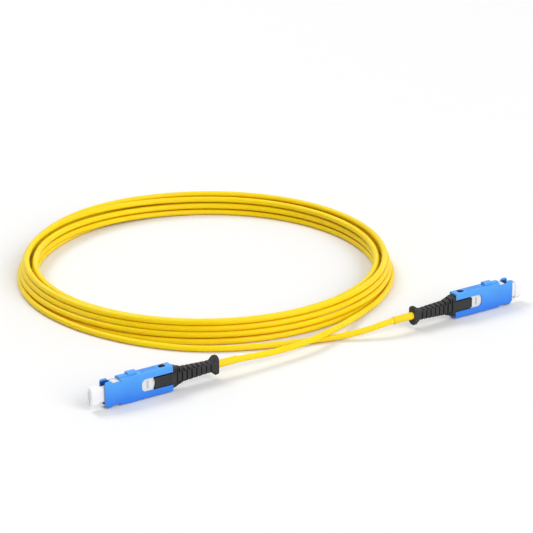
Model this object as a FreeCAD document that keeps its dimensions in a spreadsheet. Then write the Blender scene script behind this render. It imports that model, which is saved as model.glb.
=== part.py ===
"""Duplex fibre patch cord: a coiled two-fibre cable with a very small push-pull plug on each end.

Each plug is drawn in a frame of its own: x runs from the rear face of the outer housing towards
the nose, z is up on the key side, and the plug's axis is the x axis. Both plugs stand in the cord's
frame along X, back to back, with the coil behind them. All sizes are in millimetres.
"""
import FreeCAD, Part
import math
import os
import re
import Sketcher
from FreeCAD import Placement, Rotation, Vector

# Driving dimensions: alias, value and meaning
SIZES = (
    ("housing_length", 23.4, "outer housing, rear face to nose"),
    ("housing_width", 3.5, "outer housing across its two sides"),
    ("housing_height", 8.4, "outer housing without key and rib"),
    ("side_wall", 0.45, "side wall of the outer housing"),
    ("flat_wall", 0.7, "top and bottom wall of the outer housing"),
    ("housing_corner", 0.35, "radius along the housing's long edges"),
    ("slide_clearance", 0.05, "gap on each side of a sliding fit"),
    ("fit_clearance", 0.03, "gap all round a ferrule or a fixed fit"),
    ("seat_gap", 0.02, "gap between two pieces that seat on each other"),
    ("mouth_length", 5.3, "nose without top and bottom wall"),
    ("lobe_length", 2.0, "front lobe of a side wall before its scoop"),
    ("scoop_depth", 0.85, "scoop in a side wall's top edge"),
    ("under_scoop_depth", 0.6, "scoop in a side wall's bottom edge"),
    ("scoop_run_in", 0.9, "curved front end of a scoop"),
    ("nose_chamfer", 1.2, "bevel at the bottom corner of the nose"),
    ("nose_round", 0.75, "radius at the top corner of the nose"),
    ("key_setback", 8.2, "nose to the front of the key"),
    ("key_length", 3.0, "key along the plug"),
    ("key_width", 2.0, "key across the plug"),
    ("key_height", 1.0, "key above the top wall"),
    ("key_round", 0.4, "radius along the key's top edges"),
    ("ridge_height", 0.4, "ridge between key and mouth"),
    ("ridge_width", 1.7, "ridge across the plug"),
    ("rib_height", 0.3, "coding rib under the bottom wall"),
    ("rib_width", 0.9, "coding rib across the plug"),
    ("window_middle", 3.05, "rear face to the middle of the latch windows"),
    ("window_length", 2.2, "latch window along the plug"),
    ("window_width", 1.8, "latch window across the plug"),
    ("slot_length", 10.8, "side slot from the rear face"),
    ("slot_height", 4.15, "side slot's height"),
    ("slot_corner", 1.6, "radius at the slot's closed end"),
    ("grip_start", 5.0, "rear face to the first grip groove"),
    ("grip_length", 2.4, "grip groove across the plug"),
    ("grip_pitch", 0.75, "spacing of the grip grooves"),
    ("grip_count", 8, "number of grip grooves"),
    ("grip_width", 0.25, "width of a grip groove"),
    ("grip_depth", 0.18, "depth of a grip groove"),
    ("nose_recess", 2.8, "nose to the face of the front body"),
    ("front_wall", 1.7, "front body ahead of the ferrule flanges"),
    ("body_joint", 6.2, "rear face to where the front and back bodies meet"),
    ("body_bevel", 0.3, "bevel round the front body's face"),
    ("mark_position", 8.6, "rear face to the moulded bar on the front body"),
    ("mark_width", 0.5, "moulded bar along the plug"),
    ("mark_height", 2.4, "moulded bar's height"),
    ("mark_depth", 0.2, "moulded bar's relief"),
    ("ferrule_diameter", 1.25, "ceramic ferrule"),
    ("ferrule_pitch", 3.1, "spacing of the two ferrules"),
    ("ferrule_reach", 2.1, "ferrule beyond the front body's face"),
    ("ferrule_grip", 1.2, "ferrule held in its flange"),
    ("ferrule_bevel", 0.18, "bevel at a ferrule's tip"),
    ("flange_width", 1.75, "ferrule flange across its flats"),
    ("flange_length", 1.6, "ferrule flange along the plug"),
    ("flange_tail_width", 1.05, "tail of a flange inside its spring, across its flats"),
    ("flange_tail_length", 2.5, "tail of a flange behind the collar"),
    ("fibre_diameter", 0.25, "coated fibre"),
    ("fibre_spacing", 0.4, "spacing of the two fibres in the cable"),
    ("spring_diameter", 1.86, "ferrule spring outside"),
    ("spring_wire", 0.22, "spring wire"),
    ("spring_length", 6.0, "ferrule spring at rest"),
    ("spring_turns", 4, "turns of a ferrule spring"),
    ("boss_bore", 0.8, "hollow behind a spring seat, where its fibre turns"),
    ("back_body_rear", 0.3, "rear face of the housing to the back body"),
    ("splice_width", 0.9, "hollow for the fibres in the back body"),
    ("post_spare", 0.04, "crimp post wider than the cable"),
    ("post_bore", 0.9, "hole for the fibres in the crimp post"),
    ("post_reach", 4.4, "crimp post behind the housing"),
    ("ring_wall", 0.16, "wall of the crimp ring"),
    ("ring_length", 3.6, "crimp ring"),
    ("cable_diameter", 2.0, "cable jacket"),
    ("jacket_end", 11.0, "rear face of the housing to the end of the jacket"),
    ("sleeve_wall", 0.17, "heat-shrink sleeve"),
    ("sleeve_reach", 24.0, "rear face of the housing to the end of the sleeve"),
    ("boot_width", 3.4, "boot across the plug"),
    ("boot_collar", 1.0, "boot's straight collar behind the housing"),
    ("collar_play", 0.1, "gap between the boot's collar and the bore above and below"),
    ("boot_shoulder", 4.2, "rear face of the housing to the boot's shoulder"),
    ("boot_shoulder_height", 4.3, "boot at its shoulder"),
    ("boot_neck", 12.8, "rear face of the housing to the boot's neck"),
    ("boot_neck_height", 3.3, "boot at its neck"),
    ("boot_length", 16.5, "boot behind the housing"),
    ("pull_flange_height", 6.2, "pull flange at the boot's end"),
    ("pull_flange_thickness", 0.8, "rim of the pull flange"),
    ("pull_flange_flare", 1.5, "flare ahead of the pull flange"),
    ("pull_flange_round", 1.4, "radius at the pull flange's four corners"),
    ("boot_round", 0.6, "bevel along the boot's edges"),
    ("boot_skin", 0.1, "boot left under a flexing slot"),
    ("boot_slot_first", 1.3, "rear face of the housing to the first side slot"),
    ("boot_slot_pitch", 1.72, "spacing of the boot's slots"),
    ("boot_slot_count", 8, "number of side slots"),
    ("boot_slot_width", 0.5, "width of a flexing slot"),
    ("arm_reach", 6.55, "boot's side arms ahead of the rear face"),
    ("arm_play", 0.13, "gap between an arm and its slot"),
    ("arm_bevel", 0.45, "bevel at the corners of the plain arm"),
    ("arm_border", 0.3, "low border along an arm's edges"),
    ("arm_step", 0.22, "arm's face above its border"),
    ("arm_hollow", 2.6, "radius of the hollow end of the finger arm"),
    ("panel_inset", 0.65, "margin of the finger arm's panel"),
    ("panel_depth", 0.1, "depth of the finger arm's panel"),
    ("tongue_thickness", 0.7, "boot's latch tongues"),
    ("tongue_width", 2.0, "boot's latch tongues across the plug"),
    ("tongue_reach", 5.6, "boot's latch tongues ahead of the rear face"),
    ("hook_play", 0.12, "gap between a hook and its window"),
    ("hook_rise", 0.15, "hook's top above the housing's surface"),
    ("cap_gap", 0.15, "front body's face to the dust cap"),
    ("cap_neck_width", 2.3, "dust cap's neck across the plug"),
    ("cap_neck_height", 4.9, "dust cap's neck"),
    ("cap_neck_reach", 1.7, "dust cap's neck ahead of the nose"),
    ("cap_neck_bevel", 0.6, "bevel along the neck's edges"),
    ("cap_head_width", 2.8, "dust cap's head across the plug"),
    ("cap_head_height", 6.1, "dust cap's head"),
    ("cap_head_length", 2.8, "dust cap's head along the plug"),
    ("cap_head_round", 1.25, "radius along the head's edges"),
    ("cap_tip_bevel", 0.35, "bevel round the head's end"),
    ("cap_bore_spare", 0.5, "dust cap's bores past the ferrule tips"),
    ("cap_recess_width", 0.9, "recess in the head's end, across the plug"),
    ("cap_recess_height", 3.8, "recess in the head's end"),
    ("cap_recess_depth", 0.4, "depth of the recess in the head's end"),
    ("plug_spacing", 106.2, "rear face to rear face of the two housings"),
    ("plug_offset", 0.9, "each plug's distance from the line between them"),
    ("coil_x", 9.0, "coil's centre along X"),
    ("coil_y", 78.1, "coil's centre along Y"),
    ("coil_inner_radius", 57.2, "inside of the coil"),
    ("coil_outer_radius", 64.2, "outside of the coil"),
    ("coil_height", 8.0, "coil's height"),
    ("coil_edge", 1.4, "bevel round the coil's section"),
)

# Dimensions worked out from the driving ones: alias and formula
FITS = (
    ("axis_height", "housing_height / 2 + rib_height"),
    ("cavity_width", "housing_width - 2 * side_wall"),
    ("cavity_height", "housing_height - 2 * flat_wall"),
    ("body_width", "cavity_width - 2 * slide_clearance"),
    ("body_height", "cavity_height - 2 * slide_clearance"),
    ("back_height", "body_height - 2 * tongue_thickness - 2 * slide_clearance"),
    ("body_front", "housing_length - nose_recess"),
    ("flange_seat", "body_front - front_wall"),
    ("flange_front", "flange_seat - seat_gap"),
    ("flange_rear", "flange_front - flange_length"),
    ("tail_rear", "flange_rear - flange_tail_length"),
    ("spring_front", "flange_rear - seat_gap"),
    ("spring_rear", "spring_front - spring_length"),
    ("boss_front", "spring_rear - seat_gap"),
    ("chamber_width", "flange_width * 2 / sqrt(3) + 2 * slide_clearance"),
    ("ferrule_hole", "ferrule_diameter + 4 * slide_clearance"),
    ("ferrule_bore", "ferrule_diameter + 2 * fit_clearance"),
    ("ferrule_rear", "flange_front - ferrule_grip"),
    ("ferrule_tip", "body_front + ferrule_reach"),
    ("ferrule_height", "ferrule_pitch / 2"),
    ("post_diameter", "cable_diameter + post_spare"),
    ("ring_bore", "post_diameter + 2 * fit_clearance"),
    ("ring_diameter", "ring_bore + 2 * ring_wall"),
    ("ring_rear", "post_reach - seat_gap"),
    ("sleeve_bore", "cable_diameter + 2 * fit_clearance"),
    ("sleeve_diameter", "sleeve_bore + 2 * sleeve_wall"),
    ("sleeve_front", "post_reach + seat_gap"),
    ("boot_collar_height", "cavity_height - 2 * collar_play"),
    ("boot_bore", "sleeve_diameter + 2 * slide_clearance"),
    ("boot_chamber", "ring_diameter + 2 * slide_clearance"),
    ("boot_chamber_depth", "post_reach + 0.5"),
    ("slot_floor", "max(boot_bore; boot_chamber) / 2 + boot_skin"),
    ("arm_inner", "body_width / 2 + slide_clearance"),
    ("arm_outer", "housing_width / 2"),
    ("arm_height", "slot_height - 2 * arm_play"),
    ("tongue_top", "cavity_height / 2 - slide_clearance"),
    ("tongue_under", "tongue_top - tongue_thickness"),
    ("hook_top", "housing_height / 2 + hook_rise"),
    ("hook_length", "window_length - 2 * hook_play"),
    ("hook_width", "window_width - 2 * hook_play"),
    ("scoop_front", "housing_length - lobe_length"),
    ("mouth_rear", "housing_length - mouth_length"),
    ("key_front", "housing_length - key_setback"),
    ("cap_rear", "body_front + cap_gap"),
    ("cap_head_rear", "housing_length + cap_neck_reach"),
    ("cap_bore_end", "ferrule_tip + cap_bore_spare"),
    ("cable_lying", "cable_diameter / 2"),
    ("coil_middle", "(coil_inner_radius + coil_outer_radius) / 2"),
)

# The cable's route outside the coil, from inside each boot into the coil: x, y, z as formulas
TAIL_A_ROUTE = (
    ("jacket_end - plug_spacing / 2", "plug_offset", "axis_height"),
    ("-18.5", "plug_offset", "axis_height"),
    ("5.0", "2.2", "cable_lying + 3.1"),
    ("19.5", "7.8", "cable_lying + 2.3"),
    ("42.0", "22.5", "cable_lying + 0.1"),
    ("coil_x + coil_middle * 0.786", "coil_y - coil_middle * 0.635", "cable_lying"),
)
TAIL_B_ROUTE = (
    ("plug_spacing / 2 - jacket_end", "-plug_offset", "axis_height"),
    ("26.5", "-plug_offset", "axis_height"),
    ("14.0", "1.5", "cable_lying + 0.4"),
    ("-8.5", "10.5", "cable_lying"),
    ("-31.5", "24.0", "cable_lying"),
    ("-43.8", "39.0", "cable_lying"),
    ("coil_x - coil_middle * 0.924", "coil_y - coil_middle * 0.446", "cable_lying"),
)
CORNER_SHARE = 0.45
CABLE_SIDES = 8
FIBRE_SIDES = 6
LENGTHS_A_TURN = 6

# A scoop's curved front end, as shares of its run-in and of its depth, and the steps of a round corner
RUN_IN = ((0.0, 0.0), (0.35, 0.08), (0.55, 0.3), (0.7, 0.62), (0.85, 0.9), (1.0, 1.0))
ROUND_STEPS = 4

THROUGH_ALL = 1
MITRED = 1
ALONG_X = Vector(1, 0, 0)
ALONG_Y = Vector(0, 1, 0)

doc = FreeCAD.newDocument("DuplexFibrePatchCord")


def fill_sheet(name, rows):
    """Makes a spreadsheet with one alias, one value and one remark in each row."""
    sheet = doc.addObject("Spreadsheet::Sheet", name)
    for number, (alias, value, remark) in enumerate(rows, start=1):
        sheet.set(f"A{number}", alias)
        sheet.set(f"B{number}", str(value))
        sheet.setAlias(f"B{number}", alias)
        sheet.set(f"C{number}", remark)
    doc.recompute()
    return sheet


def expression(text):
    """Writes a formula with the name of its sheet before each alias."""
    def with_sheet(match):
        word = match.group(0)
        return f"{HOME[word]}.{word}" if word in HOME else word
    return re.sub(r"[a-z_]+", with_sheet, text)


HOME = {row[0]: "Sizes" for row in SIZES}
HOME.update({row[0]: "Fits" for row in FITS})
sizes = fill_sheet("Sizes", SIZES)
fits = fill_sheet("Fits", [(alias, "=" + expression(text), "worked out") for alias, text in FITS])
working = doc.addObject("Spreadsheet::Sheet", "Working")
known = {}


def size(text):
    """The present value of a formula in the sheets' aliases."""
    if text not in known:
        working.set("A1", "=" + expression(text))
        working.recompute()
        known[text] = float(working.get("A1"))
    return known[text]


class Plug:
    """One end of the cord: its letter, which way its nose points and where it stands."""

    def __init__(self, letter, side):
        self.letter = letter
        self.side = side
        self.turn = Rotation(Vector(0, 0, 1), 0 if side > 0 else 180)

    def place(self, piece, raised="0"):
        """Stands a piece in this plug's frame, raised above the plug's axis."""
        piece.Placement = Placement(Vector(), self.turn)
        piece.setExpression(".Placement.Base.x", expression(f"{self.side} * plug_spacing / 2"))
        piece.setExpression(".Placement.Base.y", expression(f"{-self.side} * plug_offset"))
        piece.setExpression(".Placement.Base.z", expression(f"axis_height + {raised}"))

    def new_body(self, name, raised="0"):
        """Starts a piece of this plug, named with the plug's letter."""
        body = doc.addObject("PartDesign::Body", name)
        body.Label = f"{name}_{self.letter}"
        self.place(body, raised)
        return body


def new_sketch(body, name, role, offset="0"):
    """Starts a sketch on one of the body's own origin planes, shifted along its normal."""
    sketch = body.newObject("Sketcher::SketchObject", name)
    plane = next(item for item in body.Origin.OriginFeatures if item.Role == role)
    sketch.AttachmentSupport = [(plane, "")]
    sketch.MapMode = "FlatFace"
    sketch.setExpression(".AttachmentOffset.Base.z", expression(offset))
    return sketch


def add_polygon(sketch, corners):
    """Draws a closed outline whose corners are pairs of formulas."""
    points = [Vector(size(across), size(up), 0) for across, up in corners]
    first = sketch.GeometryCount
    count = len(points)
    for index in range(count):
        sketch.addGeometry(Part.LineSegment(points[index], points[(index + 1) % count]), False)
    for index in range(count):
        following = first + (index + 1) % count
        sketch.addConstraint(Sketcher.Constraint("Coincident", first + index, 2, following, 1))
    for index, (across, up) in enumerate(corners):
        point = points[index]
        for kind, text, value in (("DistanceX", across, point.x), ("DistanceY", up, point.y)):
            place = Sketcher.Constraint(kind, -1, 1, first + index, 1, value)
            sketch.setExpression(f"Constraints[{sketch.addConstraint(place)}]", expression(text))
    return sketch


def add_circle(sketch, across, up, diameter):
    """Draws a circle whose centre and diameter are formulas."""
    centre = Vector(size(across), size(up), 0)
    shape = Part.Circle(centre, Vector(0, 0, 1), size(diameter) / 2)
    index = sketch.addGeometry(shape, False)
    for kind, text, value in (("DistanceX", across, centre.x), ("DistanceY", up, centre.y)):
        place = Sketcher.Constraint(kind, -1, 1, index, 3, value)
        sketch.setExpression(f"Constraints[{sketch.addConstraint(place)}]", expression(text))
    width = Sketcher.Constraint("Diameter", index, size(diameter))
    sketch.setExpression(f"Constraints[{sketch.addConstraint(width)}]", expression(diameter))
    return sketch


def centred(width, height):
    """Corners of a rectangle about the origin."""
    across = f"({width}) / 2"
    up = f"({height}) / 2"
    return [(f"-{across}", f"-{up}"), (across, f"-{up}"), (across, up), (f"-{across}", up)]


def box(low_x, low_y, high_x, high_y):
    """Corners of a rectangle between two opposite corners."""
    return [(low_x, low_y), (high_x, low_y), (high_x, high_y), (low_x, high_y)]


def square_at(height, width):
    """Corners of an upright square about a point on the plug's middle plane."""
    half = f"({width}) / 2"
    return box(f"-{half}", f"{height} - {half}", half, f"{height} + {half}")


def hexagon(width):
    """Corners of a hexagon about the origin, from its width across flats."""
    half = f"({width}) / 2"
    point = f"({width}) / sqrt(3)"
    return [
        (half, f"-{point} / 2"),
        (half, f"{point} / 2"),
        ("0", point),
        (f"-{half}", f"{point} / 2"),
        (f"-{half}", f"-{point} / 2"),
        ("0", f"-{point}"),
    ]


def mirrored(corners):
    """The same outline on the other side of the plug's axis."""
    return [(across, f"-({up})") for across, up in corners]


def pad(body, name, sketch, length, both_ways=False, backwards=False):
    """Raises a sketch into a solid."""
    feature = body.newObject("PartDesign::Pad", name)
    feature.Profile = sketch
    feature.setExpression("Length", expression(length))
    feature.Midplane = both_ways
    feature.Reversed = backwards
    return feature


def cut_through(body, name, sketch):
    """Cuts a sketch right through the body, both ways."""
    feature = body.newObject("PartDesign::Pocket", name)
    feature.Profile = sketch
    feature.Type = THROUGH_ALL
    feature.Midplane = True
    return feature


def cut_depth(body, name, sketch, depth, both_ways=False, backwards=False):
    """Cuts a sketch to a depth, against its normal unless backwards."""
    feature = body.newObject("PartDesign::Pocket", name)
    feature.Profile = sketch
    feature.setExpression("Length", expression(depth))
    feature.Midplane = both_ways
    feature.Reversed = backwards
    return feature


def repeat(body, name, feature, sketch, pitch, count, backwards=False):
    """Repeats a cut along the plug, towards the nose unless backwards."""
    row = body.newObject("PartDesign::LinearPattern", name)
    row.Originals = [feature]
    row.Direction = (sketch, ["H_Axis"])
    row.setExpression("Length", expression(f"{pitch} * ({count} - 1)"))
    row.setExpression("Occurrences", expression(count))
    row.Reversed = backwards
    body.Tip = row
    return row


def revolve(body, name, sketch):
    """Turns a sketch about the plug's axis."""
    feature = body.newObject("PartDesign::Revolution", name)
    feature.Profile = sketch
    feature.ReferenceAxis = (sketch, ["H_Axis"])
    feature.Angle = 360
    return feature


def edges_where(feature, test):
    """Names of a feature's edges that pass a test of their middle point and direction."""
    doc.recompute()
    names = []
    for number, edge in enumerate(feature.Shape.Edges, start=1):
        halfway = (edge.FirstParameter + edge.LastParameter) / 2
        if test(edge.valueAt(halfway), edge.tangentAt(halfway)):
            names.append(f"Edge{number}")
    return names


def parallel(heading, axis):
    """True where an edge runs along an axis."""
    return abs(heading.dot(axis)) > 0.999


def near(value, formula):
    """True where a coordinate is at the place that a formula gives."""
    return abs(value - size(formula)) < 0.01


def fillet(body, name, feature, test, radius):
    """Rounds the edges that pass a test."""
    rounding = body.newObject("PartDesign::Fillet", name)
    rounding.Base = (feature, edges_where(feature, test))
    rounding.setExpression("Radius", expression(radius))
    return rounding


def scoop(edge, depth):
    """Outline of a scoop between the front lobe and the hood, cut from an edge at a height."""
    floor = f"{edge} - {depth}"
    above = f"{edge} + 1"
    outline = [("mouth_rear", above), ("mouth_rear", floor)]
    for along, rise in RUN_IN:
        outline.append((f"scoop_front - scoop_run_in * {1 - along:.2f}", f"{floor} + {depth} * {rise:.2f}"))
    return outline + [("scoop_front", above)]


def round_off(across, up, radius):
    """Outline that takes a sharp corner off, leaving a quarter circle of short lines."""
    outline = [(f"{across} - {radius}", f"{up} + 1")]
    for number in range(ROUND_STEPS + 1):
        angle = math.pi / 2 * number / ROUND_STEPS
        along = f"{across} - {radius} * {1 - math.sin(angle):.4f}"
        outline.append((along, f"{up} - {radius} * {1 - math.cos(angle):.4f}"))
    return outline + [(f"{across} + 1", f"{up} - {radius}"), (f"{across} + 1", f"{up} + 1")]


def build_housing(plug):
    """The blue push-pull housing: a flat sleeve with an open mouth, side slots, windows and a key."""
    body = plug.new_body("outer_housing")
    top = "housing_height / 2"
    section = new_sketch(body, "SleeveSection", "YZ_Plane")
    add_polygon(section, centred("housing_width", "housing_height"))
    sleeve = pad(body, "Sleeve", section, "housing_length")
    fillet(
        body,
        "LongEdges",
        sleeve,
        lambda place, heading: parallel(heading, ALONG_X),
        "housing_corner",
    )

    # The ridge behind the mouth, the key behind it, and the coding rib under the bottom wall
    root = f"{top} - flat_wall / 2"
    ridge_outline = box("key_front - key_length / 2", root, "mouth_rear", f"{top} + ridge_height")
    ridge_sketch = add_polygon(new_sketch(body, "RidgeOutline", "XZ_Plane"), ridge_outline)
    ridge = pad(body, "Ridge", ridge_sketch, "ridge_width", both_ways=True)
    fillet(
        body,
        "RidgeEdges",
        ridge,
        lambda place, heading: parallel(heading, ALONG_X) and near(place.z, f"{top} + ridge_height"),
        "ridge_height * 0.75",
    )
    key_outline = box("key_front - key_length", root, "key_front", f"{top} + key_height")
    key_sketch = add_polygon(new_sketch(body, "KeyOutline", "XZ_Plane"), key_outline)
    key = pad(body, "Key", key_sketch, "key_width", both_ways=True)
    fillet(
        body,
        "KeyEdges",
        key,
        lambda place, heading: parallel(heading, ALONG_X) and near(place.z, f"{top} + key_height"),
        "key_round",
    )
    rib_outline = box(
        "key_front - key_length",
        "housing_width / 2 - housing_corner - rib_width",
        "key_front",
        "housing_width / 2 - housing_corner",
    )
    rib_sketch = new_sketch(body, "RibOutline", "XY_Plane", f"-({top} + rib_height)")
    pad(body, "Rib", add_polygon(rib_sketch, rib_outline), "rib_height + flat_wall / 2")

    # The bore right through, and the mouth without top and bottom walls
    bore = new_sketch(body, "BoreSection", "YZ_Plane")
    add_polygon(bore, centred("cavity_width", "cavity_height"))
    cut_through(body, "Bore", bore)
    mouth = box("mouth_rear", f"-{top} - 1", "housing_length + 1", f"{top} + 1")
    mouth_sketch = add_polygon(new_sketch(body, "MouthOutline", "XZ_Plane"), mouth)
    cut_depth(body, "Mouth", mouth_sketch, "cavity_width", both_ways=True)

    # Scoops above and below, the bevelled bottom corner of the nose, and round corners on the lobes
    scoops = new_sketch(body, "Scoops", "XZ_Plane")
    add_polygon(scoops, scoop(top, "scoop_depth"))
    add_polygon(scoops, mirrored(scoop(top, "under_scoop_depth")))
    corner = [
        ("housing_length - nose_chamfer", f"-{top} - 1"),
        ("housing_length + 1", f"-{top} - 1"),
        ("housing_length + 1", f"-{top} + nose_chamfer"),
        ("housing_length", f"-{top} + nose_chamfer"),
        ("housing_length - nose_chamfer", f"-{top}"),
    ]
    add_polygon(scoops, corner)
    add_polygon(scoops, round_off("housing_length", top, "nose_round"))
    cut_through(body, "ScoopedWalls", scoops)

    # Side slots for the boot's arms, open to the rear, and windows for its hooks
    slot = new_sketch(body, "SlotOutline", "XZ_Plane")
    add_polygon(slot, box("-1", "-slot_height / 2", "slot_length", "slot_height / 2"))
    slots = cut_through(body, "SideSlots", slot)
    fillet(
        body,
        "SlotCorners",
        slots,
        lambda place, heading: parallel(heading, ALONG_Y) and near(place.x, "slot_length"),
        "slot_corner",
    )
    window = box(
        "window_middle - window_length / 2",
        "-window_width / 2",
        "window_middle + window_length / 2",
        "window_width / 2",
    )
    cut_through(body, "Windows", add_polygon(new_sketch(body, "WindowOutline", "XY_Plane"), window))

    # Grip grooves across the top
    groove = box("grip_start", "-grip_length / 2", "grip_start + grip_width", "grip_length / 2")
    groove_sketch = add_polygon(new_sketch(body, "GrooveOutline", "XY_Plane", top), groove)
    first_groove = cut_depth(body, "GripGroove", groove_sketch, "grip_depth")
    repeat(body, "GripGrooves", first_groove, groove_sketch, "grip_pitch", "grip_count")
    return body


def build_front_body(plug):
    """The white inner body that carries both ferrules."""
    body = plug.new_body("front_body")
    outline = box("body_joint", "-body_height / 2", "body_front", "body_height / 2")
    block_sketch = add_polygon(new_sketch(body, "Outline", "XZ_Plane"), outline)
    block = pad(body, "Block", block_sketch, "body_width", both_ways=True)
    bevel = body.newObject("PartDesign::Chamfer", "FaceBevel")
    bevel.Base = (block, edges_where(block, lambda place, heading: near(place.x, "body_front")))
    bevel.setExpression("Size", expression("body_bevel"))
    mark = box(
        "mark_position - mark_width / 2",
        "-mark_height / 2",
        "mark_position + mark_width / 2",
        "mark_height / 2",
    )
    mark_sketch = add_polygon(new_sketch(body, "MarkOutline", "XZ_Plane"), mark)
    pad(body, "Marks", mark_sketch, "body_width + 2 * mark_depth", both_ways=True)
    holes = new_sketch(body, "FerruleHoles", "YZ_Plane")
    chambers = new_sketch(body, "SpringChambers", "YZ_Plane", "body_joint")
    for sign in ("", "-"):
        add_circle(holes, "0", f"{sign}ferrule_height", "ferrule_hole")
        add_polygon(chambers, square_at(f"{sign}ferrule_height", "chamber_width"))
    cut_through(body, "Holes", holes)
    cut_depth(body, "Chambers", chambers, "flange_seat - body_joint", backwards=True)
    return body


def build_back_body(plug):
    """The back body: spring seats, a hollow where the fibres come together and a crimp post."""
    body = plug.new_body("back_body")
    outline = box("back_body_rear", "-back_height / 2", "body_joint", "back_height / 2")
    block = add_polygon(new_sketch(body, "Outline", "XZ_Plane"), outline)
    pad(body, "Block", block, "body_width", both_ways=True)
    seats = new_sketch(body, "SpringSeats", "YZ_Plane", "body_joint")
    for sign in ("", "-"):
        add_polygon(seats, square_at(f"{sign}ferrule_height", "chamber_width - 2 * fit_clearance"))
    pad(body, "Seats", seats, "boss_front - body_joint")
    post = new_sketch(body, "PostSection", "YZ_Plane", "back_body_rear")
    add_circle(post, "0", "0", "post_diameter")
    pad(body, "Post", post, "back_body_rear + post_reach", backwards=True)
    hollow = [
        ("body_joint", "-ferrule_height - boss_bore / 2"),
        ("body_joint", "ferrule_height + boss_bore / 2"),
        ("body_joint - 1", "ferrule_height + boss_bore / 2"),
        ("back_body_rear + 0.5", "post_bore / 2"),
        ("back_body_rear + 0.5", "-post_bore / 2"),
        ("body_joint - 1", "-ferrule_height - boss_bore / 2"),
    ]
    hollow_sketch = add_polygon(new_sketch(body, "HollowOutline", "XZ_Plane"), hollow)
    cut_depth(body, "Hollow", hollow_sketch, "splice_width", both_ways=True)
    channels = new_sketch(body, "ChannelSections", "YZ_Plane", "body_joint - 0.5")
    for sign in ("", "-"):
        add_polygon(channels, square_at(f"{sign}ferrule_height", "boss_bore - 2 * fit_clearance"))
    cut_depth(body, "FibreChannels", channels, "boss_front - body_joint + 1", backwards=True)
    passage = new_sketch(body, "PostBore", "YZ_Plane", "back_body_rear + 1")
    add_circle(passage, "0", "0", "post_bore")
    cut_depth(body, "Passage", passage, "post_reach + back_body_rear + 2")
    return body


def build_ferrule(plug, name, raised):
    """A ceramic ferrule with a bevelled tip."""
    body = plug.new_body(f"ferrule_{name}", raised)
    radius = "ferrule_diameter / 2"
    outline = [
        ("ferrule_rear", "0"),
        ("ferrule_tip", "0"),
        ("ferrule_tip", f"{radius} - ferrule_bevel"),
        ("ferrule_tip - ferrule_bevel", radius),
        ("ferrule_rear", radius),
    ]
    revolve(body, "Ferrule", add_polygon(new_sketch(body, "Outline", "XZ_Plane"), outline))
    return body


def build_flange(plug, name, raised):
    """The metal flange of a ferrule: a hexagonal collar, with a thinner tail inside the spring."""
    body = plug.new_body(f"ferrule_flange_{name}", raised)
    collar = new_sketch(body, "CollarSection", "YZ_Plane", "flange_rear")
    add_polygon(collar, hexagon("flange_width"))
    pad(body, "Collar", collar, "flange_length")
    tail = new_sketch(body, "TailSection", "YZ_Plane", "flange_rear")
    add_polygon(tail, hexagon("flange_tail_width"))
    pad(body, "Tail", tail, "flange_tail_length", backwards=True)
    socket = new_sketch(body, "SocketSection", "YZ_Plane", "ferrule_rear - fit_clearance")
    add_circle(socket, "0", "0", "ferrule_diameter + fit_clearance")
    cut_depth(body, "Socket", socket, "ferrule_grip + 1", backwards=True)
    return body


def build_crimp_ring(plug):
    """The crimp ring on the back body's post."""
    body = plug.new_body("crimp_ring")
    section = new_sketch(body, "Section", "YZ_Plane", "-ring_rear")
    add_circle(section, "0", "0", "ring_diameter")
    add_circle(section, "0", "0", "ring_bore")
    pad(body, "Ring", section, "ring_length")
    return body


def add_arm(body, name, outline, offset):
    """One side arm of the boot, raised from its outline on a shifted plane."""
    sketch = add_polygon(new_sketch(body, f"{name}Outline", "XZ_Plane", offset), outline)
    return pad(body, name, sketch, "arm_outer - arm_inner")


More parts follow.
